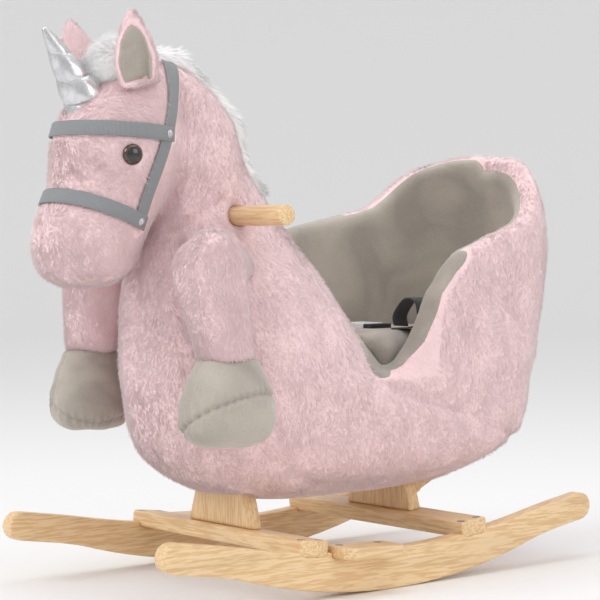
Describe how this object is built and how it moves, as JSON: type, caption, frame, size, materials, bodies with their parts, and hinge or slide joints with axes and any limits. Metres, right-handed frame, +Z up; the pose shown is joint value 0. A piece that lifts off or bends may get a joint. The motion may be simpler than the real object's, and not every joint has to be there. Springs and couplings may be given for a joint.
{
  "type": "rocking horse",
  "caption": "Plush unicorn rocking horse with a lined bucket seat, seat belt, wooden handle and footrests, on a curved wooden rocker base.",
  "frame": {"origin": "on the floor, under the middle of the whole object, about a centimetre in front of the middle of the rocker base", "axes": "+Z up, -Y forward towards the head, +X to the rider's left"},
  "size_m": [0.356, 0.6861, 0.6115],
  "materials": {
    "beech": "clear satin lacquer over pale beech",
    "plywood": "bare plywood",
    "steel": "zinc plated",
    "pink_plush": "short soft pile",
    "white_plush": "longer soft pile",
    "grey_velour": "short brushed velour",
    "stuffing": "polyester fibre and foam",
    "silver_cloth": "metallic coated cloth",
    "eye_plastic": "gloss",
    "grey_webbing": "woven ribbon",
    "black_webbing": "woven webbing",
    "white_plastic": "moulded",
    "black_plastic": "moulded"
  },
  "bodies": {
    "body": {"rocker_left": "beech", "rocker_right": "beech", "front_crossbar": "beech", "rear_crossbar": "beech", "crossbar_screws": "steel", "footrest_left": "beech", "footrest_right": "beech", "footrest_screws": "steel", "front_support": "beech", "rear_support": "beech", "rear_gusset": "beech", "support_screws": "steel", "base_board": "plywood", "neck_post": "plywood", "handle": "beech", "seat_risers": "plywood", "seat_board": "plywood", "backrest_board": "plywood", "belly_cover": "pink_plush", "belly_stuffing": "stuffing", "chest_cover": "pink_plush", "chest_stuffing": "stuffing", "head_cover": "pink_plush", "head_stuffing": "stuffing", "tub_cover": "pink_plush", "tub_padding": "stuffing", "tub_lining": "grey_velour", "seat_cushion": "grey_velour", "shoulder_left": "pink_plush", "shoulder_right": "pink_plush", "ear_left": "pink_plush", "ear_right": "pink_plush", "ear_lining_left": "grey_velour", "ear_lining_right": "grey_velour", "horn": "silver_cloth", "forelock": "white_plush", "mane": "white_plush", "eye_left": "eye_plastic", "eye_right": "eye_plastic", "browband": "grey_webbing", "noseband": "grey_webbing", "cheek_strap_left": "grey_webbing", "cheek_strap_right": "grey_webbing", "crown_strap": "grey_webbing", "bridle_rivets": "steel", "belt_strap_left": "black_webbing", "belt_strap_right": "black_webbing", "buckle_socket": "white_plastic"},
    "left_leg": {"leg_left": "pink_plush", "hoof_left": "grey_velour"},
    "right_leg": {"leg_right": "pink_plush", "hoof_right": "grey_velour"},
    "buckle": {"buckle_tongue": "black_plastic"}
  },
  "joints": [
    {"name": "leg_left_swing", "type": "hinge", "parent": "body", "child": "left_leg", "pos_m": [0.104, -0.2065, 0.345], "axis": [-1, 0, 0], "range_deg": [0, 60]},
    {"name": "leg_right_swing", "type": "hinge", "parent": "body", "child": "right_leg", "pos_m": [-0.104, -0.2065, 0.345], "axis": [-1, 0, 0], "range_deg": [0, 60]},
    {"name": "buckle_release", "type": "slide", "parent": "body", "child": "buckle", "axis": [1, 0, 0], "range_m": [0, 0.025]}
  ]
}
